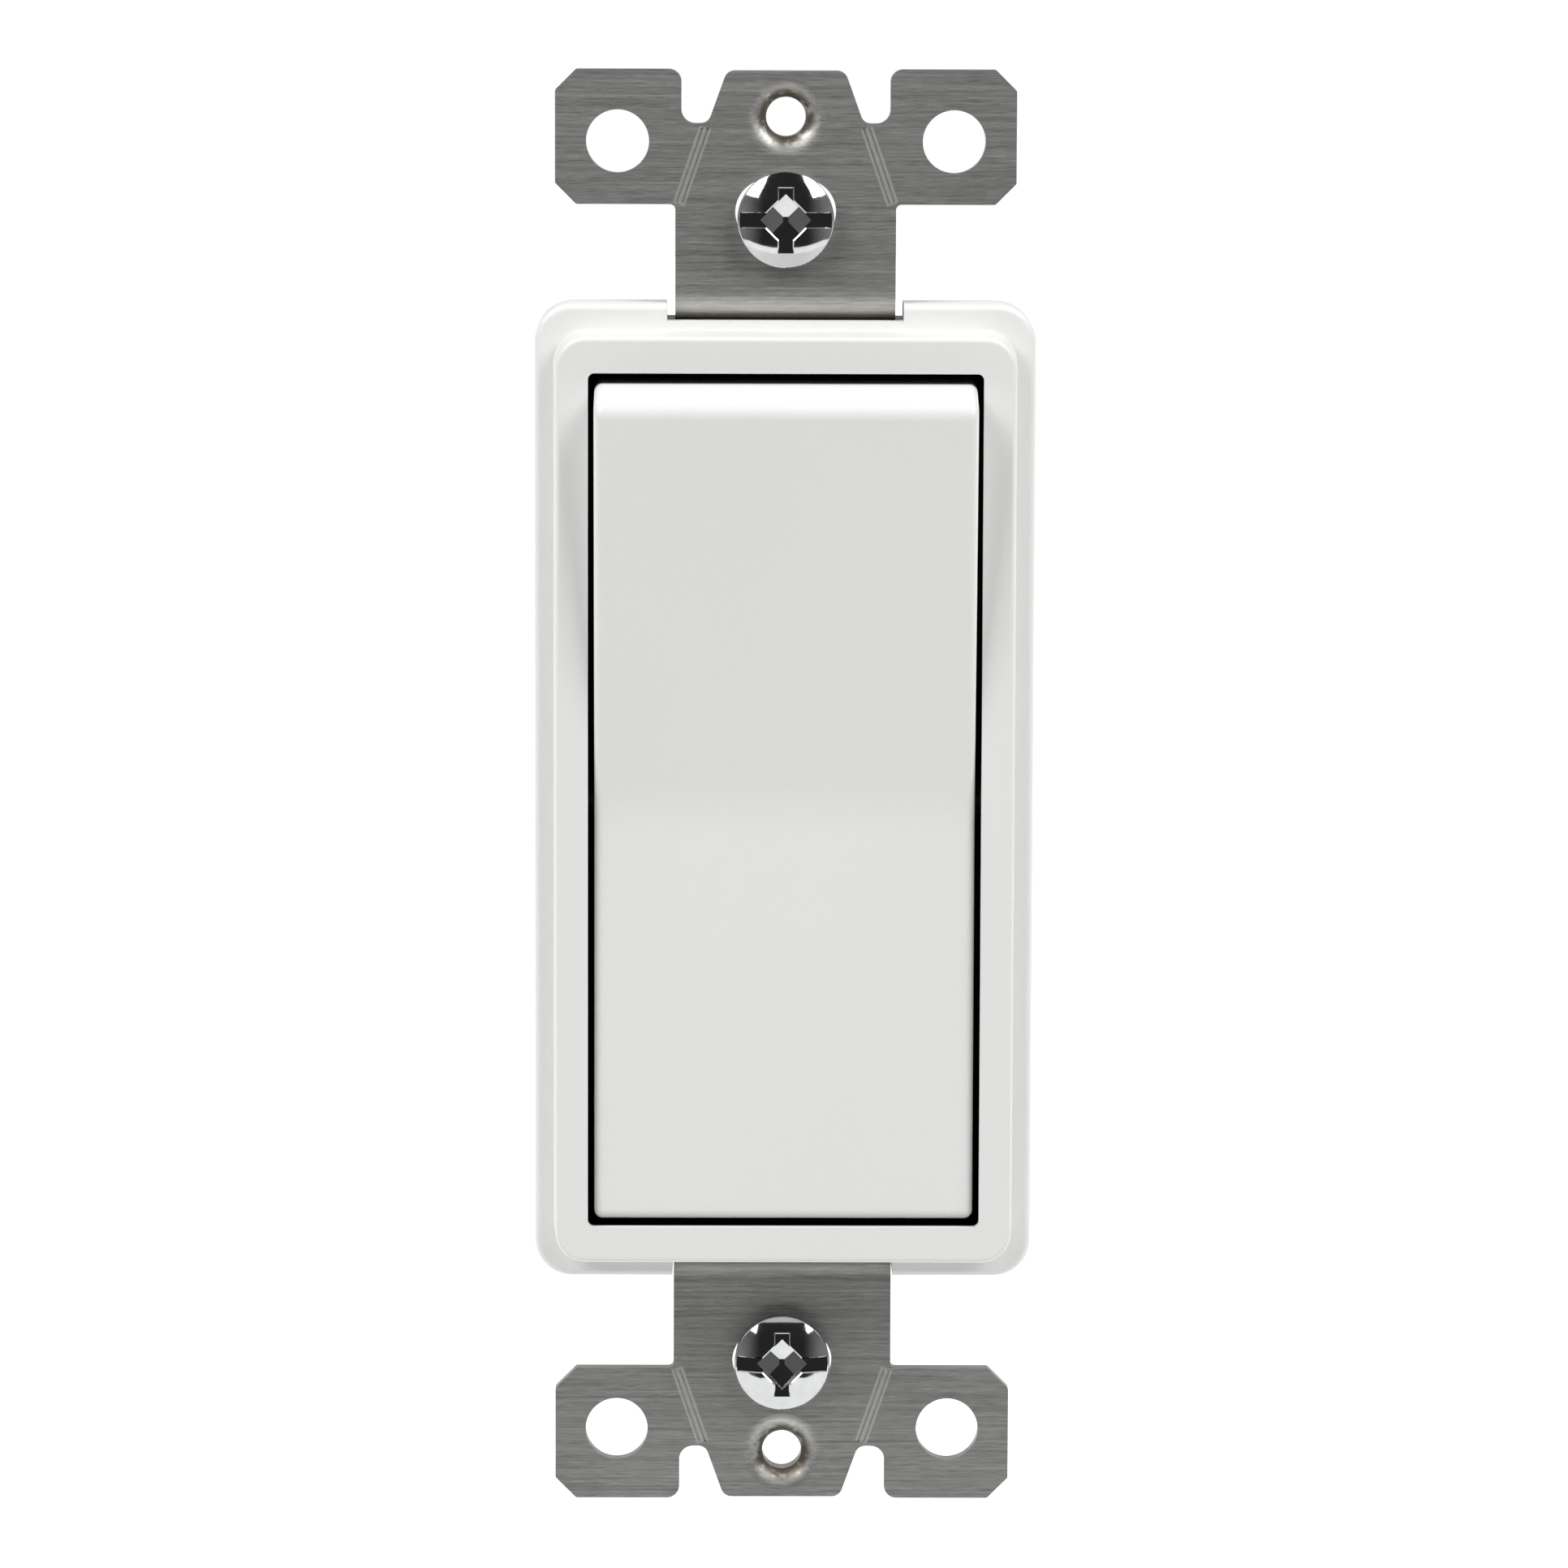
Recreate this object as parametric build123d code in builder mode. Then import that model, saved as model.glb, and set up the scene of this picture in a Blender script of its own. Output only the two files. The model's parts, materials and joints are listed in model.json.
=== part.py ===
from build123d import *
import os
from math import atan, cos, degrees, radians, sin, sqrt, tan

os.makedirs("parts", exist_ok=True)

# Decorator rocker switch, three-way. Millimetres. X to the right, Y to the back, Z up.
# The origin is on the wall plane, which is the back of the strap's ears, at the middle of the switch.

# Mounting strap: one bent sheet that wraps round the back of the housing.
SHEET = 1.2
EAR_TIP_Z = 51.8
EAR_ROOT_Z = 42.2
EAR_HALF_WIDTH = 16.45
EAR_CHAMFER = 1.5
EAR_HOLE_R = 2.25
EAR_HOLE_X = 12.0
EAR_HOLE_Z = 46.68
TAB_TIP_Z = 51.7
NOTCH_FLOOR_Z = 47.95
NOTCH_OUTER_X = 7.45
NOTCH_INNER_TIP_X = 4.2
NOTCH_INNER_ROOT_X = 5.55
NECK_HALF_WIDTH = 7.87
LEG_HALF_WIDTH = 7.8
LEG_INNER_Z = 33.5
BEND_START_Z = 35.8
PLATE_HOLE_Z = 48.41
PLATE_HOLE_R = 1.42
COLLAR_R = 2.4
COLLAR_BACK_Y = 1.3
DISH_R = 2.85
DISH_DEPTH = 0.9
BOX_SLOT_Z = 41.65
BOX_SLOT_WIDTH = 7.2
BOX_SLOT_HEIGHT = 4.7
TOP_SCREW_Z = 41.15
BOTTOM_SCREW_Z = -41.65
SCORE_DEPTH = 0.12
SCORE_WIDTH = 0.16
SCORE_GAP = 0.2
WAIST_HALF_WIDTH = 5.6
WAIST_Z = 25.0

# Front frame: a flange with a raised surround for the paddle.
FLANGE_WIDTH = 35.8
FLANGE_HEIGHT = 70.3
FLANGE_FRONT_Y = -2.6
FRAME_BACK_Y = 3.0
FACE_Y = -8.0
FACE_WIDTH = 32.6
FACE_HEIGHT = 66.3
FACE_DRAFT = 0.25
OPENING_WIDTH = 28.0
OPENING_HEIGHT = 61.2
LIP = 1.0
CAVITY_WIDTH = 28.4
CAVITY_HEIGHT = 62.8
NOTCH_HALF_WIDTH = {1: 8.45, -1: 7.95}
NOTCH_Z = 33.95
LEG_RELIEF_Z = 33.35
LEG_RELIEF_FRONT_Y = -0.9
HOOK_Z = 24.0
HOOK_HALF_HEIGHT = 2.5
HOOK_OUTER_X = 17.5
HOOK_BACK_Y = 9.0
CATCH_Y = (6.9, 8.2)

# Paddle: two flats at a shallow angle, rocking on side trunnions. It stands with its foot pressed in.
REST_ANGLE = 4.0
PADDLE_HALF_WIDTH = 13.55
PADDLE_END_R = 30.85
PADDLE_DEPTH = 7.5
PADDLE_SKIRT = 2.5
PADDLE_WALL = 1.65
VALLEY_R = 21.0
PADDLE_TOP_R = 1.3
PADDLE_FOOT_R = 0.62
PADDLE_EDGE_R = 0.6
TRUNNION_R = 1.6
SOCKET_R = 1.65
TRUNNION_TIP_X = 15.3
SOCKET_END_X = 15.6
BOSS_R = 3.4
BOSS_BORE_R = 2.2
BOSS_END = 6.0
BOSS_BORE_FLOOR = -4.5

# Plunger and its spring, in the paddle's boss.
PLUNGER_R = 2.12
PLUNGER_START = 1.5
PLUNGER_SHOULDER = 8.0
PLUNGER_TIP = 10.5
NOSE_R = 1.3
SPRING_R = 1.1
SPRING_WIRE_R = 0.22
SPRING_TURNS = 7
SPRING_END = 3.5
SPRING_POCKET_R = 1.62
SPRING_POCKET_FLOOR = 4.6

# Housing and the strap's back plate.
HOUSING_HALF_WIDTH = 16.3
HOUSING_HALF_HEIGHT = 32.75
LAND_Z = 33.4
HOUSING_BACK_Y = 24.0
HOUSING_WALL = 1.6
COVER_BACK_Y = 4.2
COVER_HALF_WIDTH = 15.4
COVER_HALF_HEIGHT = 31.9
COVER_PLAY = 0.05
RIVET_Z = 22.0
PANEL_X = 12.3
PANEL_Z = 15.0
PANEL_WIDTH = 4.2
PANEL_HEIGHT = 25.0
PANEL_DEPTH = 0.35

# See-saw contact arm on the common terminal's post.
ARM_ANGLE = -5.0
ARM_AXIS_Y = 11.5
ARM_THICKNESS = 0.8
ARM_HALF_LENGTH = 11.6
ARM_HALF_WIDTH = 2.2
CONTACT_Z = 9.5
CONTACT_R = 1.5
TRAVELER_STRIP_Y = 14.4
FIXED_CONTACT_Y = 13.55
COMMON_STRIP_Y = 17.2
STRIP = 0.8
POST_HALF_WIDTH = 2.5

# Terminals with side screws.
TERMINAL_OUTER_X = 14.7
TERMINAL_FRONT_Y = 6.4
TERMINAL_BACK_Y = 17.6
TERMINAL_HALF_HEIGHT = 5.0
TERMINAL_Y = 12.0
TRAVELER_Z = 13.0
CLAMP = 1.0
CLAMP_HALF_DEPTH = 4.2
CLAMP_HALF_HEIGHT = 4.0
TERMINAL_HOLE_R = 1.80
TERMINAL_HEAD_R = 3.5
TERMINAL_HEAD_RIM = 1.2
TERMINAL_DRIVE_DEPTH = 0.75
TERMINAL_PLAIN_END = 1.0
SIDE_SCREW_LENGTH = 6.4
GROUND_SCREW_LENGTH = 5.0
GROUND_SCREW_X = -12.0

# Six-thirty-two screws. The heads have a slot, a cross wing and a diamond recess with a sunk floor.
THREAD_R = 1.75
THREAD_ROOT_R = 1.42
PITCH = 0.794
THREAD_END_CHAMFER = 0.35
HEAD_HEIGHT = 2.0
HEAD_RIM_EASE = 0.18
BOX_HEAD_R = 3.45
BOX_HEAD_RIM = 1.0
BOX_DRIVE_DEPTH = 0.9
BOX_SCREW_LENGTH = 21.5
BOX_SCREW_PLAIN_END = 2.4
DRIVE_SLOT = 1.0
DIAMOND = 2.75
DIAMOND_DRAFT = 6
FLOOR_DEPTH = 0.92
FLOOR_SLOPE = 22
WING = 1.0
WING_REACH = 1.32
MOUTH_EASE = 0.08


def facing(y):
    """The plane across the switch at a depth, looking out of the wall."""
    return Plane.XZ.offset(-y)


def block(x0, x1, y0, y1, z0, z1, mode=Mode.ADD):
    """A rectangular block between two corners."""
    with Locations(((x0 + x1) / 2, (y0 + y1) / 2, (z0 + z1) / 2)):
        Box(abs(x1 - x0), abs(y1 - y0), abs(z1 - z0), mode=mode)


def rod(radius, start, end, mode=Mode.ADD):
    """A round bar between two points."""
    axis = Vector(*end) - Vector(*start)
    middle = (Vector(*start) + Vector(*end)) * 0.5
    with Locations(Plane(origin=middle, z_dir=axis.normalized())):
        Cylinder(radius, axis.length, mode=mode)


def off_axis(seat, point):
    """How far a point is from a screw's axis."""
    local = seat.to_local_coords(point)
    return sqrt(local.X ** 2 + local.Y ** 2)


def machine_screw(seat, head_r, rim, length, plain_end, drive):
    """A domed combination-drive screw. The seat's normal points out of the head."""
    cut = Plane(origin=seat.origin, x_dir=seat.x_dir, z_dir=-seat.y_dir)
    ridges = int((length - plain_end - PITCH) / PITCH)
    tip_r = THREAD_R - THREAD_END_CHAMFER
    outline = [(0, -length), (tip_r, -length), (THREAD_R, -length + THREAD_END_CHAMFER)]
    outline.append((THREAD_R, -length + plain_end))
    for n in range(ridges):
        low = -length + plain_end + n * PITCH
        outline.append((THREAD_ROOT_R, low + PITCH / 2))
        outline.append((THREAD_R, low + PITCH))
    outline += [(THREAD_R, 0), (head_r, 0), (head_r, rim)]
    dome_r = (head_r ** 2 + (HEAD_HEIGHT - rim) ** 2) / (2 * (HEAD_HEIGHT - rim))
    crown_z = HEAD_HEIGHT - dome_r + sqrt(dome_r ** 2 - head_r ** 2 / 4)
    top = seat.offset(HEAD_HEIGHT)
    with BuildPart(mode=Mode.PRIVATE) as recess:
        with BuildSketch(top):
            Rectangle(DIAMOND, DIAMOND, rotation=45)
        extrude(amount=-HEAD_HEIGHT, taper=DIAMOND_DRAFT)
        with BuildPart(mode=Mode.PRIVATE) as bed:
            with BuildSketch(top.offset(-FLOOR_DEPTH)):
                Rectangle(2 * DIAMOND, 2 * DIAMOND)
            extrude(amount=FLOOR_DEPTH + 1)
            with BuildSketch(top.offset(-FLOOR_DEPTH)):
                Rectangle(DIAMOND * sqrt(2), DIAMOND * sqrt(2))
            extrude(amount=-0.9 * DIAMOND / sqrt(2) * tan(radians(FLOOR_SLOPE)), taper=90 - FLOOR_SLOPE)
        add(bed.part, mode=Mode.INTERSECT)
    with BuildPart() as screw:
        with BuildSketch(cut) as section:
            with BuildLine():
                Polyline(*outline)
                ThreePointArc((head_r, rim), (head_r / 2, crown_z), (0, HEAD_HEIGHT))
                Line((0, HEAD_HEIGHT), (0, -length))
            make_face()
            fillet(section.vertices().sort_by_distance((head_r, rim, 0))[0], HEAD_RIM_EASE)
        revolve(axis=Axis(seat.origin, seat.z_dir))
        add(recess.part, mode=Mode.SUBTRACT)
        with BuildSketch(top):
            Rectangle(head_r * 2 + 1, DRIVE_SLOT)
        extrude(amount=-drive, mode=Mode.SUBTRACT)
        with BuildSketch(top):
            Rectangle(WING, head_r * WING_REACH)
        extrude(amount=-drive * 0.6, mode=Mode.SUBTRACT)
        # eased mouth of the recess, where it breaks through the dome
        rim_zone = head_r - 0.25
        mouth = screw.faces().filter_by(GeomType.SPHERE).edges().filter_by(
            lambda e: min(off_axis(seat, e @ t) for t in (0, 0.5, 1)) < rim_zone)
        chamfer(mouth, MOUTH_EASE)
    return screw.part


# ---------------------------------------------------------------- mounting strap
# The folded sheet is five nodes that meet edge to edge: two ear plates, two legs and the back plate.
BEND_R = BEND_START_Z - LEG_INNER_Z
BEND_HUB_Y = BEND_R - SHEET
BACK_Z = LEG_INNER_Z + SHEET
CORNER_R = 1.1


def ear_plate(way):
    """The flat end of the strap, above or below the frame."""
    with BuildPart() as plate:
        with BuildSketch(facing(0)) as ears:
            with Locations((0, way * (BEND_START_Z + EAR_ROOT_Z + 0.5) / 2)):
                Rectangle(2 * NECK_HALF_WIDTH, EAR_ROOT_Z + 0.5 - BEND_START_Z)
            with BuildLine():
                a, b = EAR_HALF_WIDTH, EAR_HALF_WIDTH - EAR_CHAMFER
                low, high = way * EAR_ROOT_Z, way * EAR_TIP_Z
                in_low, in_high = way * (EAR_ROOT_Z + EAR_CHAMFER), way * (EAR_TIP_Z - EAR_CHAMFER)
                Polyline((-b, low), (b, low), (a, in_low), (a, in_high), (b, high), (-b, high),
                         (-a, in_high), (-a, in_low), (-b, low))
            make_face()
            for side in (1, -1):
                with BuildLine():
                    Polyline((side * NOTCH_OUTER_X, way * (EAR_TIP_Z + 1)),
                             (side * NOTCH_OUTER_X, way * NOTCH_FLOOR_Z),
                             (side * NOTCH_INNER_ROOT_X, way * NOTCH_FLOOR_Z),
                             (side * NOTCH_INNER_TIP_X, way * TAB_TIP_Z),
                             (side * NOTCH_INNER_TIP_X, way * (EAR_TIP_Z + 1)),
                             (side * NOTCH_OUTER_X, way * (EAR_TIP_Z + 1)))
                make_face(mode=Mode.SUBTRACT)
                with Locations((side * EAR_HOLE_X, way * EAR_HOLE_Z)):
                    Circle(EAR_HOLE_R, mode=Mode.SUBTRACT)
            with Locations((0, way * BOX_SLOT_Z)):
                SlotOverall(BOX_SLOT_WIDTH, BOX_SLOT_HEIGHT, mode=Mode.SUBTRACT)
            with Locations((0, way * (EAR_TIP_Z + TAB_TIP_Z) / 2)):
                Rectangle(2 * NOTCH_OUTER_X, EAR_TIP_Z - TAB_TIP_Z, mode=Mode.SUBTRACT)
            eased = ((NOTCH_OUTER_X, EAR_TIP_Z, 0.9), (NOTCH_INNER_TIP_X, TAB_TIP_Z, 0.8),
                     (NOTCH_OUTER_X, NOTCH_FLOOR_Z, 1.0), (NOTCH_INNER_ROOT_X, NOTCH_FLOOR_Z, 0.75),
                     (NECK_HALF_WIDTH, EAR_ROOT_Z, 0.4), (EAR_HALF_WIDTH, EAR_TIP_Z - EAR_CHAMFER, 0.25),
                     (EAR_HALF_WIDTH, EAR_ROOT_Z + EAR_CHAMFER, 0.25),
                     (EAR_HALF_WIDTH - EAR_CHAMFER, EAR_TIP_Z, 0.25),
                     (EAR_HALF_WIDTH - EAR_CHAMFER, EAR_ROOT_Z, 0.25))
            for x, z, radius in eased:
                fillet(ears.vertices().filter_by(
                    lambda v: abs(abs(v.X) - x) < 0.1 and abs(abs(v.Y) - z) < 0.1), radius)
        extrude(amount=SHEET)
        # threaded collar for the cover plate's screw, drawn in from the front with a rounded mouth
        hole_z = way * PLATE_HOLE_Z
        rod(COLLAR_R, (0, -SHEET / 2, hole_z), (0, COLLAR_BACK_Y, hole_z))
        rod(PLATE_HOLE_R, (0, -2, hole_z), (0, 2, hole_z), mode=Mode.SUBTRACT)
        bottom_y = -SHEET + DISH_DEPTH
        with BuildSketch(Plane(origin=(0, 0, hole_z), x_dir=(1, 0, 0), z_dir=(0, 0, 1))):
            with BuildLine():
                TangentArc((DISH_R, -SHEET), (PLATE_HOLE_R, bottom_y), tangent=(-1, 0))
                Polyline((PLATE_HOLE_R, bottom_y), (0, bottom_y), (0, -2 * SHEET), (DISH_R, -2 * SHEET),
                         (DISH_R, -SHEET))
            make_face()
        revolve(axis=Axis((0, 0, hole_z), (0, 1, 0)), mode=Mode.SUBTRACT)
        # pairs of scored lines where an ear snaps off
        for side in (1, -1):
            for shift in (-SCORE_GAP, SCORE_GAP):
                start = Vector(side * (5.75 + shift), 0, way * (NOTCH_FLOOR_Z - 0.3))
                end = Vector(side * (7.6 + shift), 0, way * (EAR_ROOT_Z + 0.1))
                middle = (start + end) * 0.5
                run = Plane(origin=(middle.X, -SHEET, middle.Z), x_dir=(end - start).normalized(),
                            z_dir=(0, -1, 0))
                with Locations(run):
                    Box((end - start).length, SCORE_WIDTH, 2 * SCORE_DEPTH, mode=Mode.SUBTRACT)
    return plate.part


def strap_leg(way):
    """The bend behind the frame's notch and the leg along the housing's end."""
    with BuildPart() as leg:
        with BuildSketch(Plane.YZ):
            with Locations((BEND_HUB_Y, way * BEND_START_Z)):
                Circle(BEND_R)
                Circle(BEND_R - SHEET, mode=Mode.SUBTRACT)
                with Locations((0, way * BEND_R)):
                    Rectangle(2 * BEND_R, 2 * BEND_R, mode=Mode.SUBTRACT)
                with Locations((BEND_R, 0)):
                    Rectangle(2 * BEND_R, 2 * BEND_R, mode=Mode.SUBTRACT)
        extrude(amount=NECK_HALF_WIDTH, both=True)
        block(-LEG_HALF_WIDTH, LEG_HALF_WIDTH, BEND_HUB_Y - 0.15, HOUSING_BACK_Y + SHEET,
              way * LEG_INNER_Z, way * BACK_Z)
        outer_corner = leg.edges().filter_by(Axis.X).filter_by(
            lambda e: e.center().Y > HOUSING_BACK_Y + SHEET - 0.01 and abs(e.center().Z) > BACK_Z - 0.01)
        fillet(outer_corner, CORNER_R)
    return leg.part


with BuildPart() as strap_ears_top:
    add(ear_plate(1))
with BuildPart() as strap_ears_bottom:
    add(ear_plate(-1))
with BuildPart() as strap_leg_top:
    add(strap_leg(1))
with BuildPart() as strap_leg_bottom:
    add(strap_leg(-1))
    # grounding tab beside the lower leg
    block(-15.4, -LEG_HALF_WIDTH, 8.2, 15.8, -BACK_Z, -LEG_INNER_Z)
    fillet(strap_leg_bottom.edges().filter_by(Axis.Z).filter_by(lambda e: e.center().X < -15.3), 1.2)
    rod(TERMINAL_HOLE_R, (GROUND_SCREW_X, TERMINAL_Y, -BACK_Z - 1),
        (GROUND_SCREW_X, TERMINAL_Y, -LEG_INNER_Z + 1), mode=Mode.SUBTRACT)

rivet_z = (RIVET_Z, -RIVET_Z)
with BuildPart() as strap_back:
    block(-LEG_HALF_WIDTH, LEG_HALF_WIDTH, HOUSING_BACK_Y, HOUSING_BACK_Y + SHEET, -LEG_INNER_Z, LEG_INNER_Z)
    for side in (1, -1):
        block(side * WAIST_HALF_WIDTH, side * (LEG_HALF_WIDTH + 1), HOUSING_BACK_Y - 0.5,
              HOUSING_BACK_Y + SHEET + 0.5, -WAIST_Z, WAIST_Z, mode=Mode.SUBTRACT)
    shoulders = strap_back.edges().filter_by(Axis.Y).filter_by(
        lambda e: abs(abs(e.center().Z) - WAIST_Z) < 0.01)
    fillet(shoulders.filter_by(lambda e: abs(e.center().X) < WAIST_HALF_WIDTH + 0.1), 1.2)
    fillet(shoulders.filter_by(lambda e: abs(e.center().X) > LEG_HALF_WIDTH - 0.1), 0.8)
    for z in rivet_z:
        rod(1.3, (0, HOUSING_BACK_Y - 1, z), (0, HOUSING_BACK_Y + 3, z), mode=Mode.SUBTRACT)

# ---------------------------------------------------------------- front frame
with BuildPart() as front_frame:
    with BuildSketch(facing(FRAME_BACK_Y)):
        RectangleRounded(FLANGE_WIDTH, FLANGE_HEIGHT, 2.7)
    extrude(amount=FRAME_BACK_Y - FLANGE_FRONT_Y)
    flange_rim = front_frame.faces().sort_by(Axis.Y)[0].outer_wire().edges()
    fillet(flange_rim, 0.45)
    step = FLANGE_FRONT_Y - FACE_Y
    with BuildSketch(facing(FLANGE_FRONT_Y)):
        RectangleRounded(FACE_WIDTH + 2 * FACE_DRAFT, FACE_HEIGHT + 2 * FACE_DRAFT, 2.4)
    extrude(amount=step, taper=degrees(atan(FACE_DRAFT / step)))
    fillet(front_frame.faces().sort_by(Axis.Y)[0].outer_wire().edges(), 0.35)
    with BuildSketch(facing(FACE_Y + LIP)):
        RectangleRounded(OPENING_WIDTH, OPENING_HEIGHT, 0.45)
    extrude(amount=2 * LIP, mode=Mode.SUBTRACT)
    with BuildSketch(facing(FRAME_BACK_Y)):
        RectangleRounded(CAVITY_WIDTH, CAVITY_HEIGHT, 0.8)
    extrude(amount=FRAME_BACK_Y - FACE_Y - LIP, mode=Mode.SUBTRACT)
    for way in (1, -1):
        notch = NOTCH_HALF_WIDTH[way]
        block(-notch, notch, FLANGE_FRONT_Y - 0.01, FRAME_BACK_Y + 1,
              way * NOTCH_Z, way * FLANGE_HEIGHT, mode=Mode.SUBTRACT)
        block(-notch, notch, LEG_RELIEF_FRONT_Y, FRAME_BACK_Y + 1,
              way * LEG_RELIEF_Z, way * FLANGE_HEIGHT, mode=Mode.SUBTRACT)
        rod(SOCKET_R, (way * SOCKET_END_X, 0, 0), (way * 13, 0, 0), mode=Mode.SUBTRACT)
        # snap hooks over the housing's sides
        for z in (HOOK_Z, -HOOK_Z):
            hook_x = way * (HOUSING_HALF_WIDTH + 0.1)
            block(hook_x, way * HOOK_OUTER_X, FRAME_BACK_Y, HOOK_BACK_Y,
                  z - HOOK_HALF_HEIGHT, z + HOOK_HALF_HEIGHT)
            block(way * (HOUSING_HALF_WIDTH - 0.6), hook_x, *CATCH_Y,
                  z - HOOK_HALF_HEIGHT, z + HOOK_HALF_HEIGHT)

# ---------------------------------------------------------------- rocker paddle
tilt = radians(REST_ANGLE)
along = Vector(0, cos(tilt), sin(tilt))
rest = Plane(origin=(0, 0, 0), x_dir=along, z_dir=(1, 0, 0))
apex = -PADDLE_DEPTH / cos(tilt)
slope = sin(tilt) / cos(tilt)


def crown(front, radius, back):
    """Points round a paddle section: front corner, end arc's middle and back corner."""
    height = 0.0
    for _ in range(40):
        height = sqrt(radius ** 2 - (front - slope * height) ** 2)
    corner = (front - slope * height, height)
    tail = (back, sqrt(radius ** 2 - back ** 2))
    mid_u = (corner[0] + tail[0]) / 2
    return corner, (mid_u, sqrt(radius ** 2 - mid_u ** 2)), tail


def flip(p):
    return (p[0], -p[1])


with BuildPart() as rocker_paddle:
    corner, mid, tail = crown(apex, PADDLE_END_R, -PADDLE_SKIRT)
    with BuildSketch(rest) as skin:
        with BuildLine():
            Polyline(corner, (apex, 0), flip(corner))
            ThreePointArc(flip(corner), flip(mid), flip(tail))
            Line(flip(tail), tail)
            ThreePointArc(tail, mid, corner)
        make_face()
        fillet(skin.vertices().sort_by_distance((apex, 0, 0))[0], VALLEY_R)
        fillet(skin.vertices().sort_by_distance((*corner, 0))[0], PADDLE_TOP_R)
        fillet(skin.vertices().sort_by_distance((*flip(corner), 0))[0], PADDLE_FOOT_R)
    extrude(amount=PADDLE_HALF_WIDTH, both=True)
    # eased outline of the face and ends
    outline = rocker_paddle.edges().filter_by(
        lambda e: abs(abs(e.center().X) - PADDLE_HALF_WIDTH) < 0.01 and e.center().Y < -PADDLE_SKIRT - 0.6)
    fillet(outline, PADDLE_EDGE_R)
    inner_corner, inner_mid, inner_tail = crown(apex + PADDLE_WALL, PADDLE_END_R - PADDLE_WALL, 1.0)
    with BuildSketch(rest):
        with BuildLine():
            Polyline(inner_corner, (apex + PADDLE_WALL, 0), flip(inner_corner))
            ThreePointArc(flip(inner_corner), flip(inner_mid), flip(inner_tail))
            Line(flip(inner_tail), inner_tail)
            ThreePointArc(inner_tail, inner_mid, inner_corner)
        make_face()
    extrude(amount=PADDLE_HALF_WIDTH - PADDLE_WALL, both=True, mode=Mode.SUBTRACT)
    # cross ribs
    for height in (-22, -12, 12, 22):
        with BuildSketch(rest):
            with Locations((-5.2, height)):
                Rectangle(4.2, 1.2)
        extrude(amount=PADDLE_HALF_WIDTH - PADDLE_WALL / 2, both=True)
    # boss for the plunger, with webs to the side cheeks
    rod(BOSS_R, along * (apex + 0.8), along * BOSS_END)
    with BuildSketch(rest):
        with Locations((-4.0, 0)):
            Rectangle(6.0, 1.2)
    extrude(amount=PADDLE_HALF_WIDTH - PADDLE_WALL / 2, both=True)
    rod(BOSS_BORE_R, along * BOSS_BORE_FLOOR, along * (BOSS_END + 1), mode=Mode.SUBTRACT)
    # side cheeks and trunnions
    for side in (1, -1):
        inner_x = side * (PADDLE_HALF_WIDTH - PADDLE_WALL)
        with BuildSketch(rest.offset(inner_x)):
            with Locations((-0.8, 0)):
                Circle(3.2)
            with Locations((-3.9, 0)):
                Rectangle(6.2, 6.4)
        extrude(amount=side * PADDLE_WALL)
        rod(TRUNNION_R, (side * (PADDLE_HALF_WIDTH - 0.6), 0, 0), (side * TRUNNION_TIP_X, 0, 0))

# ---------------------------------------------------------------- plunger and spring
with BuildPart() as plunger:
    with BuildSketch(rest):
        with BuildLine():
            nose_hub = PLUNGER_TIP - NOSE_R
            arc_mid = (nose_hub + NOSE_R * cos(radians(45)), NOSE_R * sin(radians(45)))
            Polyline((PLUNGER_START, 0), (PLUNGER_START, PLUNGER_R), (PLUNGER_SHOULDER - 0.5, PLUNGER_R),
                     (PLUNGER_SHOULDER, NOSE_R), (nose_hub, NOSE_R))
            ThreePointArc((nose_hub, NOSE_R), arc_mid, (PLUNGER_TIP, 0))
            Line((PLUNGER_TIP, 0), (PLUNGER_START, 0))
        make_face()
    revolve(axis=Axis((0, 0, 0), along))
    # pocket for the spring's end, with room for the plunger to slide back over it
    rod(SPRING_POCKET_R, along * (PLUNGER_START - 1), along * SPRING_POCKET_FLOOR, mode=Mode.SUBTRACT)

with BuildPart() as coil:
    run = SPRING_END - BOSS_BORE_FLOOR - 2 * SPRING_WIRE_R
    with BuildLine() as turns:
        Helix(pitch=run / SPRING_TURNS, height=run, radius=SPRING_R)
    with BuildSketch(Plane(origin=turns.line @ 0, z_dir=turns.line % 0)):
        Circle(SPRING_WIRE_R)
    sweep(path=turns.line, is_frenet=True)

with BuildPart() as plunger_spring:
    with Locations(Plane(origin=along * (BOSS_BORE_FLOOR + SPRING_WIRE_R), z_dir=along)):
        add(coil.part)

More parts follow.
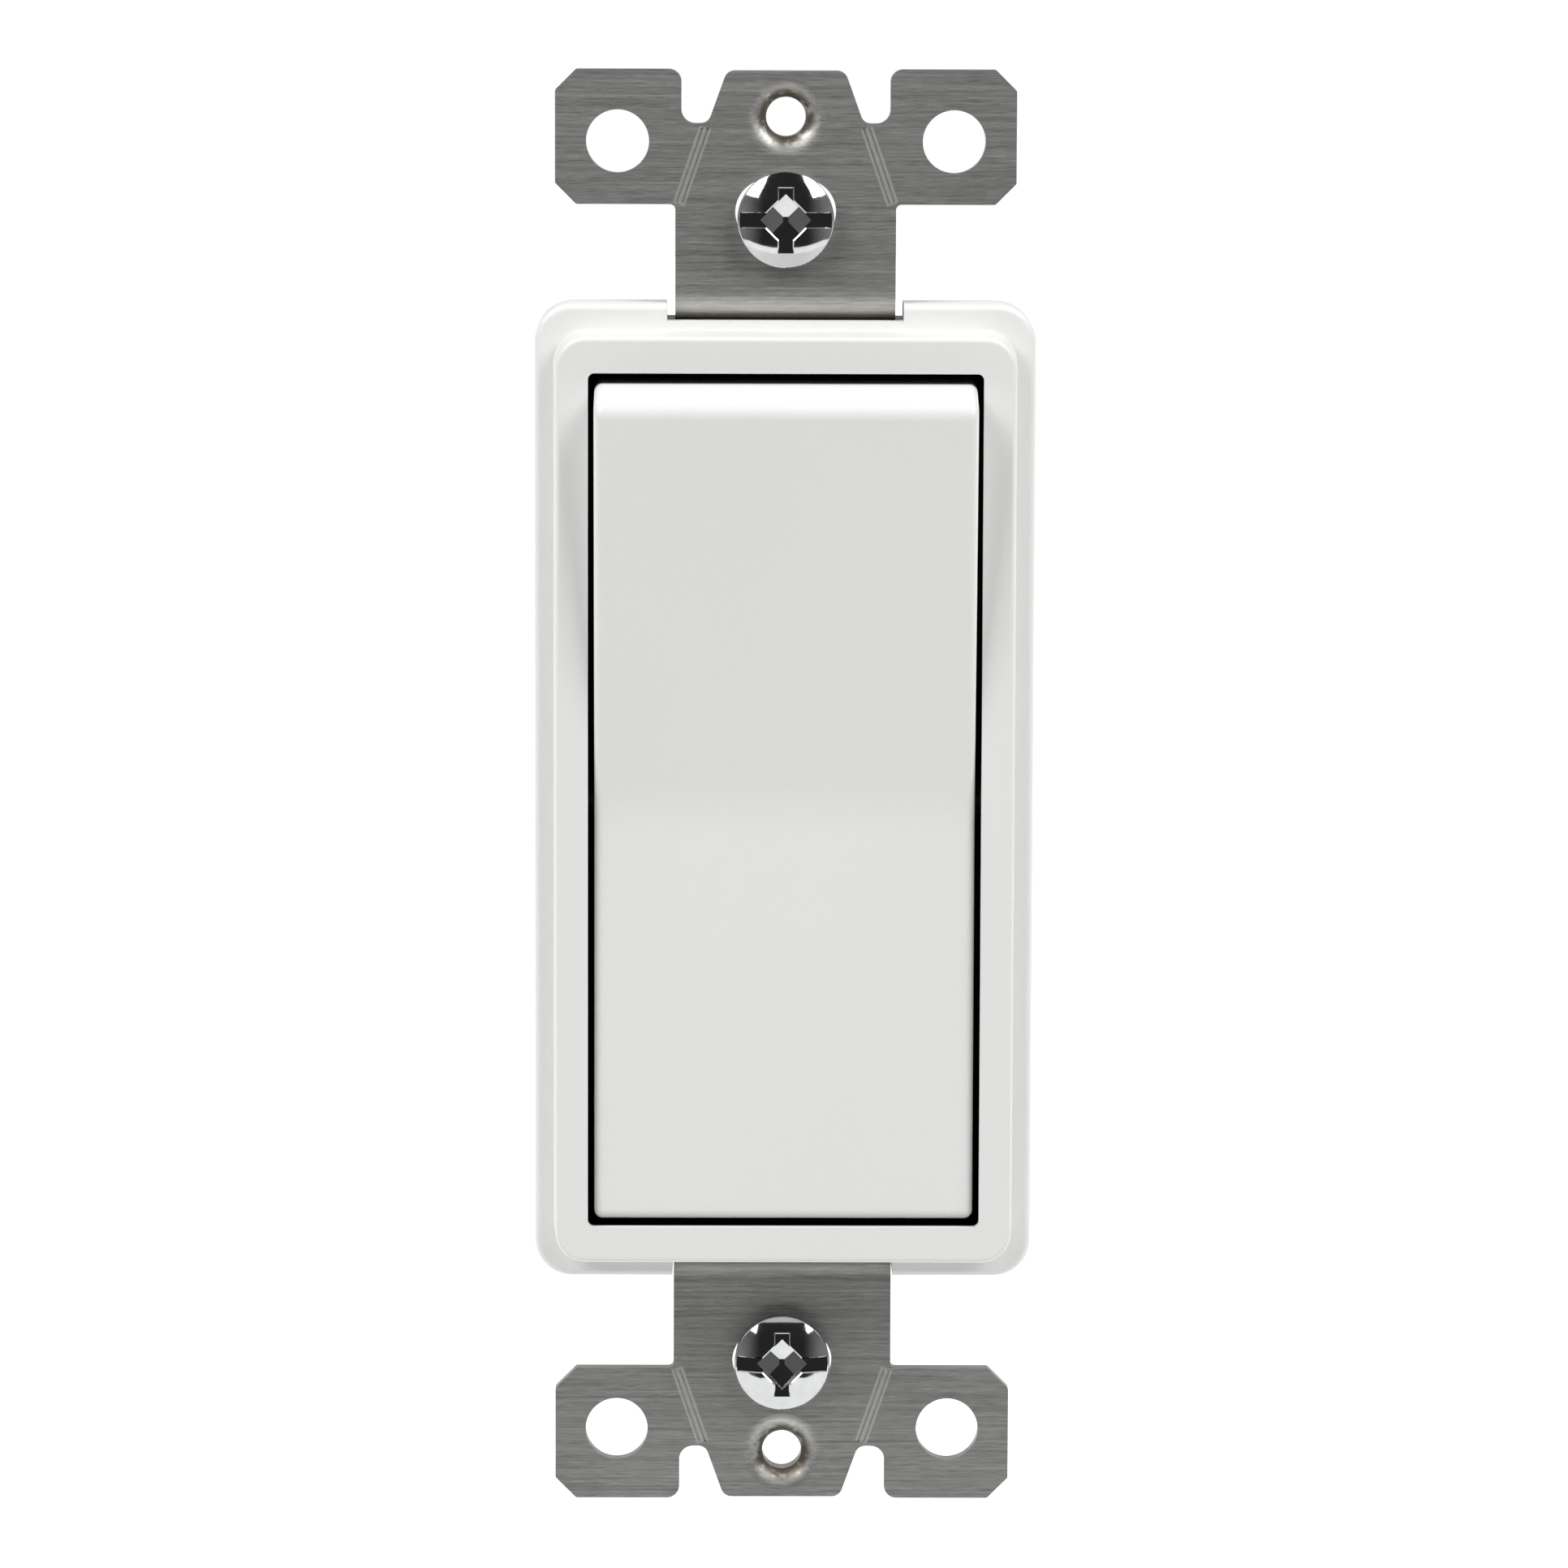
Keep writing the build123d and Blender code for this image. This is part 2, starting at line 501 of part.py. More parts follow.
# ---------------------------------------------------------------- housing
with BuildPart() as rear_housing:
    half_w, half_h = HOUSING_HALF_WIDTH, HOUSING_HALF_HEIGHT
    with BuildSketch(facing(HOUSING_BACK_Y)):
        RectangleRounded(2 * half_w, 2 * half_h, 1.2)
    extrude(amount=HOUSING_BACK_Y - FRAME_BACK_Y)
    fillet(rear_housing.faces().sort_by(Axis.Y)[-1].outer_wire().edges(), 0.8)
    # raised lands under the strap's legs
    for way in (1, -1):
        block(-LEG_HALF_WIDTH, LEG_HALF_WIDTH, FRAME_BACK_Y, HOUSING_BACK_Y,
              way * (half_h - HOUSING_WALL), way * LAND_Z)
    inside_w, inside_h = half_w - HOUSING_WALL, half_h - HOUSING_WALL
    floor_y = HOUSING_BACK_Y - HOUSING_WALL
    with BuildSketch(facing(floor_y)):
        RectangleRounded(2 * inside_w, 2 * inside_h, 0.8)
    extrude(amount=floor_y - FRAME_BACK_Y, mode=Mode.SUBTRACT)
    block(-COVER_HALF_WIDTH - COVER_PLAY, COVER_HALF_WIDTH + COVER_PLAY, FRAME_BACK_Y - 1, COVER_BACK_Y,
          -COVER_HALF_HEIGHT - COVER_PLAY, COVER_HALF_HEIGHT + COVER_PLAY, mode=Mode.SUBTRACT)
    # shallow panels either side of the strap, on the back
    for side in (1, -1):
        for z in (PANEL_Z, -PANEL_Z):
            with BuildSketch(facing(HOUSING_BACK_Y - PANEL_DEPTH)):
                with Locations((side * PANEL_X, z)):
                    RectangleRounded(PANEL_WIDTH, PANEL_HEIGHT, 0.8)
            extrude(amount=-2 * PANEL_DEPTH, mode=Mode.SUBTRACT)
    # pedestals under the terminal strips
    for z in (CONTACT_Z, -CONTACT_Z):
        block(-4.5, 5.5, TRAVELER_STRIP_Y + STRIP, floor_y + 0.2, z - 2.0, z + 2.0)
    block(-11.5, 4.5, COMMON_STRIP_Y + STRIP, floor_y + 0.2, -3.0, 3.0)
    # walls of the grounding screw's pocket, then the pocket
    block(-half_w + 0.4, -8.0, 6.0, 18.0, -half_h + 0.4, -27.6)
    block(-15.4, -9.2, 7.6, 16.4, -half_h - 1, -29.0, mode=Mode.SUBTRACT)
    # screw windows
    windows = ((1, TRAVELER_Z), (1, -TRAVELER_Z), (-1, 0))
    for side, z in windows:
        block(side * inside_w, side * (half_w + 1), 7.4, 16.6, z - 4.4, z + 4.4, mode=Mode.SUBTRACT)
    # catches for the frame's hooks
    for side in (1, -1):
        for z in (HOOK_Z, -HOOK_Z):
            half = HOOK_HALF_HEIGHT + 0.2
            block(side * (half_w - 0.75), side * (half_w + 1), CATCH_Y[0] - 0.1, CATCH_Y[1] + 0.1,
                  z - half, z + half, mode=Mode.SUBTRACT)
    for z in rivet_z:
        rod(1.3, (0, floor_y - 1, z), (0, HOUSING_BACK_Y + 1, z), mode=Mode.SUBTRACT)

with BuildPart() as mechanism_cover:
    block(-COVER_HALF_WIDTH, COVER_HALF_WIDTH, FRAME_BACK_Y, COVER_BACK_Y,
          -COVER_HALF_HEIGHT, COVER_HALF_HEIGHT)
    fillet(mechanism_cover.edges().filter_by(Axis.Y), 0.4)
    block(-4.3, 4.3, FRAME_BACK_Y - 1, COVER_BACK_Y + 1, -4.8, 4.8, mode=Mode.SUBTRACT)

with BuildPart() as paddle_bumpers:
    for z in (26.5, -26.5):
        with BuildSketch(facing(FRAME_BACK_Y)):
            with Locations((0, z)):
                SlotOverall(14, 3.6)
        extrude(amount=2.6)

with BuildPart() as strap_rivets:
    for z in rivet_z:
        rod(1.25, (0, floor_y - 0.7, z), (0, HOUSING_BACK_Y + SHEET + 0.7, z))
        rod(2.0, (0, floor_y - 0.7, z), (0, floor_y, z))
        with Locations(Plane(origin=(0, HOUSING_BACK_Y + SHEET + 0.4, z), z_dir=(0, 1, 0))):
            Cone(2.4, 1.7, 0.8)

# ---------------------------------------------------------------- terminals and contacts
with BuildPart() as common_terminal:
    side_x = TERMINAL_OUTER_X
    block(-side_x, -side_x + STRIP, TERMINAL_FRONT_Y, COMMON_STRIP_Y + STRIP,
          -TERMINAL_HALF_HEIGHT, TERMINAL_HALF_HEIGHT)
    block(-side_x, 3.5, COMMON_STRIP_Y, COMMON_STRIP_Y + STRIP, -2.8, 2.8)
    block(-POST_HALF_WIDTH, POST_HALF_WIDTH, ARM_AXIS_Y + 0.63, COMMON_STRIP_Y + 0.1, -0.6, 0.6)
    rod(0.6, (-POST_HALF_WIDTH, ARM_AXIS_Y + 0.63, 0), (POST_HALF_WIDTH, ARM_AXIS_Y + 0.63, 0))
    rod(TERMINAL_HOLE_R, (-side_x - 1, TERMINAL_Y, 0), (-side_x + 2, TERMINAL_Y, 0), mode=Mode.SUBTRACT)


def traveler(way):
    """A traveler terminal: side plate, strip and contact seat, above or below the middle."""
    z = way * TRAVELER_Z
    with BuildPart() as terminal:
        block(side_x - STRIP, side_x, TERMINAL_FRONT_Y, TERMINAL_BACK_Y,
              z - TERMINAL_HALF_HEIGHT, z + TERMINAL_HALF_HEIGHT)
        block(-2.4, side_x - STRIP / 2, TRAVELER_STRIP_Y, TRAVELER_STRIP_Y + STRIP,
              way * (CONTACT_Z - 1.9), way * (CONTACT_Z + 2.1))
        rod(TERMINAL_HOLE_R, (side_x - 2, TERMINAL_Y, z), (side_x + 1, TERMINAL_Y, z), mode=Mode.SUBTRACT)
    return terminal.part


with BuildPart() as traveler_terminal_upper:
    add(traveler(1))
with BuildPart() as traveler_terminal_lower:
    add(traveler(-1))

with BuildPart() as fixed_contacts:
    for z in (CONTACT_Z, -CONTACT_Z):
        with BuildPart(mode=Mode.PRIVATE) as button:
            rod(CONTACT_R + 0.2, (0, FIXED_CONTACT_Y, z), (0, TRAVELER_STRIP_Y, z))
            fillet(button.edges().sort_by(Axis.Y)[0], 0.3)
        add(button.part)

lean = radians(ARM_ANGLE)
arm_back = Vector(0, cos(lean), sin(lean))
arm_up = Vector(0, -sin(lean), cos(lean))
arm = Plane(origin=(0, ARM_AXIS_Y, 0), x_dir=arm_back, z_dir=(1, 0, 0))


def on_arm(back, up, x=0.0):
    """A point given in the arm's own directions."""
    p = Vector(0, ARM_AXIS_Y, 0) + arm_back * back + arm_up * up
    return (x, p.Y, p.Z)


with BuildPart() as contact_arm:
    with BuildSketch(arm):
        with Locations((-ARM_THICKNESS / 2, 0)):
            Rectangle(ARM_THICKNESS, 2 * ARM_HALF_LENGTH)
    extrude(amount=ARM_HALF_WIDTH, both=True)
    with BuildSketch(arm):
        with Locations((-ARM_THICKNESS / 2, 0)):
            Rectangle(ARM_THICKNESS, 5.0)
    extrude(amount=POST_HALF_WIDTH + 0.9, both=True)
    # lugs that straddle the post
    for side in (1, -1):
        with BuildSketch(arm.offset(side * (POST_HALF_WIDTH + 0.15))):
            with Locations((0.6, 0)):
                Rectangle(2.8, 2.4)
        extrude(amount=side * 0.75)
    for up in (CONTACT_Z, -CONTACT_Z):
        rod(0.9, on_arm(-2, up), on_arm(1, up), mode=Mode.SUBTRACT)

with BuildPart() as moving_contacts:
    for up in (CONTACT_Z, -CONTACT_Z):
        rod(0.9, on_arm(-ARM_THICKNESS, up), on_arm(0, up))
        rod(CONTACT_R, on_arm(0, up), on_arm(1.0, up))
        rod(1.15, on_arm(-ARM_THICKNESS - 0.3, up), on_arm(-ARM_THICKNESS, up))

# ---------------------------------------------------------------- clamp plates and screws
def clamp_plate(side, z):
    """A clamp plate under a terminal screw's head."""
    x0, x1 = side * TERMINAL_OUTER_X, side * (TERMINAL_OUTER_X + CLAMP)
    with BuildPart() as plate:
        block(x0, x1, TERMINAL_Y - CLAMP_HALF_DEPTH, TERMINAL_Y + CLAMP_HALF_DEPTH,
              z - CLAMP_HALF_HEIGHT, z + CLAMP_HALF_HEIGHT)
        fillet(plate.edges().filter_by(Axis.X), 0.6)
        rod(TERMINAL_HOLE_R + 0.1, (0, TERMINAL_Y, z), (side * 20, TERMINAL_Y, z), mode=Mode.SUBTRACT)
    return plate.part


with BuildPart() as common_clamp_plate:
    add(clamp_plate(-1, 0))
with BuildPart() as traveler_clamp_plates:
    add(clamp_plate(1, TRAVELER_Z))
    add(clamp_plate(1, -TRAVELER_Z))


def side_screw(side, z):
    """A terminal screw at one side. Its head is slotted along the switch."""
    seat = Plane(origin=(side * (TERMINAL_OUTER_X + CLAMP), TERMINAL_Y, z),
                 x_dir=(0, 0, 1), z_dir=(side, 0, 0))
    return machine_screw(seat, TERMINAL_HEAD_R, TERMINAL_HEAD_RIM, SIDE_SCREW_LENGTH, TERMINAL_PLAIN_END,
                         TERMINAL_DRIVE_DEPTH)


with BuildPart() as common_screw:
    add(side_screw(-1, 0))
with BuildPart() as traveler_screw_upper:
    add(side_screw(1, TRAVELER_Z))
with BuildPart() as traveler_screw_lower:
    add(side_screw(1, -TRAVELER_Z))
with BuildPart() as ground_screw:
    ground_seat = Plane(origin=(GROUND_SCREW_X, TERMINAL_Y, -BACK_Z), x_dir=(1, 0, 0), z_dir=(0, 0, -1))
    add(machine_screw(ground_seat, TERMINAL_HEAD_R, TERMINAL_HEAD_RIM, GROUND_SCREW_LENGTH,
                      TERMINAL_PLAIN_END, TERMINAL_DRIVE_DEPTH))


def box_screw(z):
    """A screw that fastens the strap to its box."""
    seat = Plane(origin=(0, -SHEET, z), x_dir=(1, 0, 0), z_dir=(0, -1, 0))
    return machine_screw(seat, BOX_HEAD_R, BOX_HEAD_RIM, BOX_SCREW_LENGTH, BOX_SCREW_PLAIN_END,
                         BOX_DRIVE_DEPTH)


with BuildPart() as box_screw_top:
    add(box_screw(TOP_SCREW_Z))
with BuildPart() as box_screw_bottom:
    add(box_screw(BOTTOM_SCREW_Z))

with BuildPart() as screw_retainers:
    for z in (TOP_SCREW_Z, BOTTOM_SCREW_Z):
        rod(3.05, (0, 0, z), (0, 1.0, z))
        rod(THREAD_R + 0.05, (0, -1, z), (0, 2, z), mode=Mode.SUBTRACT)

pieces = {
    "rocker_paddle": rocker_paddle, "front_frame": front_frame, "strap_ears_top": strap_ears_top,
    "strap_ears_bottom": strap_ears_bottom, "strap_leg_top": strap_leg_top,
    "strap_leg_bottom": strap_leg_bottom, "strap_back": strap_back,
    "rear_housing": rear_housing, "mechanism_cover": mechanism_cover, "paddle_bumpers": paddle_bumpers,
    "plunger": plunger, "plunger_spring": plunger_spring, "contact_arm": contact_arm,
    "moving_contacts": moving_contacts, "fixed_contacts": fixed_contacts,
    "common_terminal": common_terminal, "traveler_terminal_upper": traveler_terminal_upper,
    "traveler_terminal_lower": traveler_terminal_lower, "common_clamp_plate": common_clamp_plate,
    "traveler_clamp_plates": traveler_clamp_plates, "common_screw": common_screw,
    "traveler_screw_upper": traveler_screw_upper, "traveler_screw_lower": traveler_screw_lower,
    "ground_screw": ground_screw, "box_screw_top": box_screw_top, "box_screw_bottom": box_screw_bottom,
    "screw_retainers": screw_retainers, "strap_rivets": strap_rivets,
}
for label, piece in pieces.items():
    piece.part.label = label
    export_step(piece.part, f"parts/{label}.step")
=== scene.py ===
import json
import math

import bpy
from mathutils import Matrix, Vector


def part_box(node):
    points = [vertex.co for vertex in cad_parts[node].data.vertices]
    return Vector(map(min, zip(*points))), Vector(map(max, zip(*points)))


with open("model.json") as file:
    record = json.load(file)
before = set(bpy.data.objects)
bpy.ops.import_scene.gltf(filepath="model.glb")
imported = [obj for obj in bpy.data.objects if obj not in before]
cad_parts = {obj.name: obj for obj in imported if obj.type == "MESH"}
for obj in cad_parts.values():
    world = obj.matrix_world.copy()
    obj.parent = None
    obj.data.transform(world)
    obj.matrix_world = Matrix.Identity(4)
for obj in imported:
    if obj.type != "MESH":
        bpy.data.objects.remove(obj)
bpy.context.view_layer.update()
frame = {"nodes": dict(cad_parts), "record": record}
nodes = frame["nodes"]
mounts = {mount["name"]: mount for mount in frame["record"]["mounts"]}
scene = bpy.context.scene
scene.view_settings.view_transform = "Standard"
scene.view_settings.look = "None"

MM = 0.001


# ------------------------------------------------------------------ node helpers
def fresh(name):
    mat = bpy.data.materials.new(name)
    mat.use_nodes = True
    tree = mat.node_tree
    return mat, tree, tree.nodes["Principled BSDF"]


def place(tree, scale):
    """The object's own coordinates in metres, stretched by a scale."""
    coord = tree.nodes.new("ShaderNodeTexCoord")
    mapping = tree.nodes.new("ShaderNodeMapping")
    mapping.inputs["Scale"].default_value = scale
    tree.links.new(coord.outputs["Object"], mapping.inputs["Vector"])
    return mapping.outputs["Vector"]


def axes(tree):
    """The object's own x, y and z, in metres."""
    coord = tree.nodes.new("ShaderNodeTexCoord")
    split = tree.nodes.new("ShaderNodeSeparateXYZ")
    tree.links.new(coord.outputs["Object"], split.inputs[0])
    return split.outputs["X"], split.outputs["Y"], split.outputs["Z"]


def noise(tree, scale, detail=2.0, rough=0.5):
    """Smooth noise. The scale is in cells per metre along each axis."""
    tex = tree.nodes.new("ShaderNodeTexNoise")
    tex.inputs["Scale"].default_value = 1.0
    tex.inputs["Detail"].default_value = detail
    tex.inputs["Roughness"].default_value = rough
    tree.links.new(place(tree, scale), tex.inputs["Vector"])
    return tex.outputs["Fac"]


def ramp(tree, fac, stops):
    """A colour for each value, from (position, colour) stops."""
    node = tree.nodes.new("ShaderNodeValToRGB")
    while len(node.color_ramp.elements) < len(stops):
        node.color_ramp.elements.new(0.5)
    for element, (position, colour) in zip(node.color_ramp.elements, stops):
        element.position = position
        element.color = (*colour, 1)
    tree.links.new(fac, node.inputs["Fac"])
    return node.outputs["Color"]


def spread(tree, fac, low, high):
    """A value from 0 to 1, stretched between two others."""
    node = tree.nodes.new("ShaderNodeMapRange")
    node.inputs["To Min"].default_value = low
    node.inputs["To Max"].default_value = high
    tree.links.new(fac, node.inputs["Value"])
    return node.outputs["Result"]


def step_up(tree, value, low, high):
    """0 at low, 1 at high, smooth between. It falls with the value where high is below low."""
    node = tree.nodes.new("ShaderNodeMapRange")
    node.interpolation_type = "SMOOTHSTEP"
    node.inputs["From Min"].default_value = low
    node.inputs["From Max"].default_value = high
    tree.links.new(value, node.inputs["Value"])
    return node.outputs["Result"]


def math_node(tree, kind, first, second=None):
    """One arithmetic step. Each input is a socket or a number."""
    node = tree.nodes.new("ShaderNodeMath")
    node.operation = kind
    for slot, value in enumerate((first, second)):
        if isinstance(value, (int, float)):
            node.inputs[slot].default_value = value
        elif value is not None:
            tree.links.new(value, node.inputs[slot])
    return node.outputs[0]


def times(tree, *factors):
    """The product of several values."""
    product = factors[0]
    for factor in factors[1:]:
        product = math_node(tree, "MULTIPLY", product, factor)
    return product


def size_of(tree, value):
    return math_node(tree, "ABSOLUTE", value)


def bump(tree, shader, fac, height):
    node = tree.nodes.new("ShaderNodeBump")
    node.inputs["Distance"].default_value = height
    node.inputs["Strength"].default_value = 1.0
    tree.links.new(fac, node.inputs["Height"])
    tree.links.new(node.outputs["Normal"], shader.inputs["Normal"])


def tint(colour, amount):
    return tuple(min(1.0, c * amount) for c in colour)


def blend_base(tree, mask, colour):
    """Mixes a material's base colour towards another where the mask is 1."""
    base = tree.nodes["Principled BSDF"].inputs["Base Color"]
    mix = tree.nodes.new("ShaderNodeMix")
    mix.data_type = "RGBA"
    factor, first, second = mix.inputs[0], mix.inputs[6], mix.inputs[7]
    tree.links.new(mask, factor)
    tree.links.new(base.links[0].from_socket, first)
    second.default_value = (*colour, 1)
    tree.links.new(mix.outputs[2], base)


# ------------------------------------------------------------------ materials
FLOW_MARKS = (60, 60, 25)
SPARK_GRAIN = (6500, 6500, 6500)
PLASTIC_IOR = 1.49
PLASTIC_SHEEN_SWING = 0.05


def moulded(name, colour, roughness, grain=0.018 * MM, variation=0.012):
    """Moulded plastic: a fine spark-eroded texture, faint flow marks and a soft sheen."""
    mat, tree, shader = fresh(name)
    flow = noise(tree, FLOW_MARKS, 3.0)
    stops = [(0.3, tint(colour, 1 - variation)), (0.7, tint(colour, 1 + variation))]
    tree.links.new(ramp(tree, flow, stops), shader.inputs["Base Color"])
    fine = noise(tree, SPARK_GRAIN)
    sheen = spread(tree, fine, roughness - PLASTIC_SHEEN_SWING, roughness + PLASTIC_SHEEN_SWING)
    tree.links.new(sheen, shader.inputs["Roughness"])
    bump(tree, shader, fine, grain)
    shader.inputs["IOR"].default_value = PLASTIC_IOR
    return mat


# cells per metre, along the grain and then across it
HAIRLINES = (700, 15000)
HAIR_BANDS = (110, 5200)
HAIRLINE_SHARE = 0.6
BRUSHED_HEIGHT = 0.012 * MM
BRUSHED_SHEEN_SWING = 0.1


def grained(cells, along):
    """A noise scale drawn out along one axis."""
    long, short = cells
    return tuple(long if axis == along else short for axis in "XYZ")


def brushed(name, colour, along="X", roughness=0.36, contrast=0.22, metal=1.0):
    """Sheet metal with a straight rolled grain along one axis."""
    mat, tree, shader = fresh(name)
    hair = noise(tree, grained(HAIRLINES, along), 3.0, 0.65)
    band = noise(tree, grained(HAIR_BANDS, along))
    grain = math_node(tree, "ADD", times(tree, hair, HAIRLINE_SHARE), times(tree, band, 1 - HAIRLINE_SHARE))
    stops = [(0.33, tint(colour, 1 - contrast)), (0.5, colour), (0.67, tint(colour, 1 + contrast))]
    tree.links.new(ramp(tree, grain, stops), shader.inputs["Base Color"])
    sheen = spread(tree, grain, roughness - BRUSHED_SHEEN_SWING, roughness + BRUSHED_SHEEN_SWING)
    tree.links.new(sheen, shader.inputs["Roughness"])
    shader.inputs["Metallic"].default_value = metal
    bump(tree, shader, grain, BRUSHED_HEIGHT)
    return mat


TUMBLING_MARKS = (900, 900, 900)
PLATED_HEIGHT = 0.0015 * MM


def plated(name, colour, roughness):
    """Bright plated or dyed metal with faint tumbling marks."""
    mat, tree, shader = fresh(name)
    marks = noise(tree, TUMBLING_MARKS, 3.0)
    stops = [(0.3, tint(colour, 0.93)), (0.7, tint(colour, 1.05))]
    tree.links.new(ramp(tree, marks, stops), shader.inputs["Base Color"])
    tree.links.new(spread(tree, marks, roughness * 0.6, roughness * 1.6), shader.inputs["Roughness"])
    shader.inputs["Metallic"].default_value = 1.0
    bump(tree, shader, marks, PLATED_HEIGHT)
    return mat


WHITE = (0.80, 0.80, 0.785)
BRASS = (0.62, 0.42, 0.16)
STRAP_GREY = (0.475, 0.475, 0.458)
COARSE = 0.02 * MM
looks = {
    "rocker_paddle": moulded("paddle_white", WHITE, 0.42),
    "front_frame": moulded("frame_white", WHITE, 0.45),
    "strap_ears_top": brushed("strap_steel", STRAP_GREY, roughness=0.46, contrast=0.3, metal=0.9),
    "rear_housing": moulded("housing_grey", (0.045, 0.046, 0.05), 0.5, COARSE, 0.08),
    "mechanism_cover": moulded("insulator_grey", (0.03, 0.03, 0.03), 0.6, COARSE, 0.08),
    "paddle_bumpers": moulded("bumper_rubber", (0.02, 0.02, 0.02), 0.75, COARSE, 0.1),
    "plunger": moulded("nylon_natural", (0.66, 0.62, 0.52), 0.4),
    "plunger_spring": plated("spring_steel", (0.5, 0.5, 0.5), 0.2),
    "contact_arm": brushed("contact_brass", BRASS, "Z", 0.28, 0.12),
    "moving_contacts": plated("contact_silver", (0.8, 0.79, 0.76), 0.18),
    "common_terminal": brushed("terminal_brass", BRASS, "X", 0.28, 0.12),
    "common_clamp_plate": brushed("clamp_steel", (0.5, 0.5, 0.48), "Z", 0.3, 0.12),
    "common_screw": plated("screw_black", (0.025, 0.024, 0.022), 0.3),
    "traveler_screw_upper": plated("screw_brass", (0.70, 0.48, 0.18), 0.16),
    "ground_screw": plated("screw_green", (0.03, 0.30, 0.09), 0.2),
    "box_screw_top": plated("screw_chrome", (0.55, 0.556, 0.56), 0.06),
    "strap_rivets": plated("rivet_steel", (0.55, 0.55, 0.54), 0.22),
}
same = {
    "strap_ears_bottom": "strap_ears_top", "strap_leg_top": "strap_ears_top",
    "strap_leg_bottom": "strap_ears_top", "strap_back": "strap_ears_top",
    "fixed_contacts": "moving_contacts", "traveler_terminal_upper": "common_terminal",
    "traveler_terminal_lower": "common_terminal", "traveler_clamp_plates": "common_clamp_plate",
    "traveler_screw_lower": "traveler_screw_upper", "box_screw_bottom": "box_screw_top",
    "screw_retainers": "plunger",
}

# ------------------------------------------------------------------ wear and painted shade on the strap
# Distances along x and z are from the middle of the switch and count on both sides of it.
STRAP_FRONT_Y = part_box("strap_ears_top")[0][1]
PLATE_HOLE_Z = mounts["plate_screw_hole_top"]["pos_m"][2]

# A pair of scored lines runs from beside each notch to the neck's corner.
SCORE_TOP_X, SCORE_TOP_Z = 5.75 * MM, 47.65 * MM
SCORE_FOOT_X, SCORE_FOOT_Z = 7.6 * MM, 42.3 * MM
SCORE_TONE = (0.80, 0.80, 0.77)
SCORE_INNER, SCORE_OUTER = 0.38 * MM, 0.50 * MM
SCORE_END_EASE = 0.1 * MM

# The rounded mouths of the cover plate's screw holes are stained.
STAIN_TONE = (0.10, 0.082, 0.055)
STAIN_INNER, STAIN_OUTER = 1.75 * MM, 2.45 * MM
STAIN_BLOTCHES = (1500, 1500, 1500)

# The bend behind the frame gets painted shade: brown where it turns away, and a near-black painted shadow
# further in.
BEND_INNER_Z, BEND_OUTER_Z = 36.0 * MM, 36.4 * MM
BEND_END_Y = (0.7 * MM, 0.3 * MM)
BEND_SHADE_TONE, BEND_SHADE_Y = (0.21, 0.18, 0.115), (-1.0 * MM, -0.66 * MM)
BEND_SHADOW_TONE, BEND_SHADOW_Y = (0.012, 0.011, 0.012), (-0.66 * MM, -0.40 * MM)


def lighten_score_lines(tree):
    x, y, z = axes(tree)
    from_x = math_node(tree, "SUBTRACT", size_of(tree, x), SCORE_TOP_X)
    from_z = math_node(tree, "SUBTRACT", size_of(tree, z), SCORE_TOP_Z)
    run_x, run_z = SCORE_FOOT_X - SCORE_TOP_X, SCORE_FOOT_Z - SCORE_TOP_Z
    length = math.hypot(run_x, run_z)
    run_x, run_z = run_x / length, run_z / length
    across = math_node(tree, "SUBTRACT", times(tree, from_x, -run_z), times(tree, from_z, -run_x))
    along = math_node(tree, "ADD", times(tree, from_x, run_x), times(tree, from_z, run_z))
    score = times(tree, step_up(tree, size_of(tree, across), SCORE_OUTER, SCORE_INNER),
                  step_up(tree, along, -SCORE_END_EASE, SCORE_END_EASE),
                  step_up(tree, along, length + 2 * SCORE_END_EASE, length),
                  step_up(tree, y, STRAP_FRONT_Y + 0.4 * MM, STRAP_FRONT_Y + 0.2 * MM))
    blend_base(tree, times(tree, score, 0.8), SCORE_TONE)


def stain_plate_holes(tree):
    x, y, z = axes(tree)
    from_hole = math_node(tree, "SUBTRACT", size_of(tree, z), PLATE_HOLE_Z)
    squares = math_node(tree, "ADD", times(tree, x, x), times(tree, from_hole, from_hole))
    radius = math_node(tree, "SQRT", squares)
    blotch = noise(tree, STAIN_BLOTCHES, 3.0)
    mouth = times(tree, step_up(tree, radius, STAIN_OUTER, STAIN_INNER),
                  step_up(tree, y, 0.0, -0.2 * MM), step_up(tree, blotch, 0.25, 0.55))
    blend_base(tree, times(tree, mouth, 0.85), STAIN_TONE)


def paint_shade_on_bends(tree):
    _, y, z = axes(tree)
    in_bend = times(tree, step_up(tree, y, *BEND_END_Y),
                    step_up(tree, size_of(tree, z), BEND_OUTER_Z, BEND_INNER_Z))
    # Both tones are painted shade: brown as the bend curves back, then a near-black painted shadow against
    # the frame.
    for tone, depth, amount in ((BEND_SHADE_TONE, BEND_SHADE_Y, 0.6), (BEND_SHADOW_TONE, BEND_SHADOW_Y, 0.95)):
        blend_base(tree, times(tree, step_up(tree, y, *depth), in_bend, amount), tone)


strap_tree = looks["strap_ears_top"].node_tree
lighten_score_lines(strap_tree)
stain_plate_holes(strap_tree)
paint_shade_on_bends(strap_tree)

# ------------------------------------------------------------------ painted shade in the gap round the paddle
# The paddle's skirt and the frame's cavity lie in the gap, which reads black, so both get a near-black
# painted shade.
GAP_SHADE_TONE = (0.045, 0.044, 0.040)
FRAME_FRONT_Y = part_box("front_frame")[0][1]
REST_TILT = math.radians(4.0)
SKIRT_DEPTH = (-5.9 * MM, -5.4 * MM)
CAVITY_HALF_WIDTH, CAVITY_HALF_HEIGHT = 14.4 * MM, 31.6 * MM


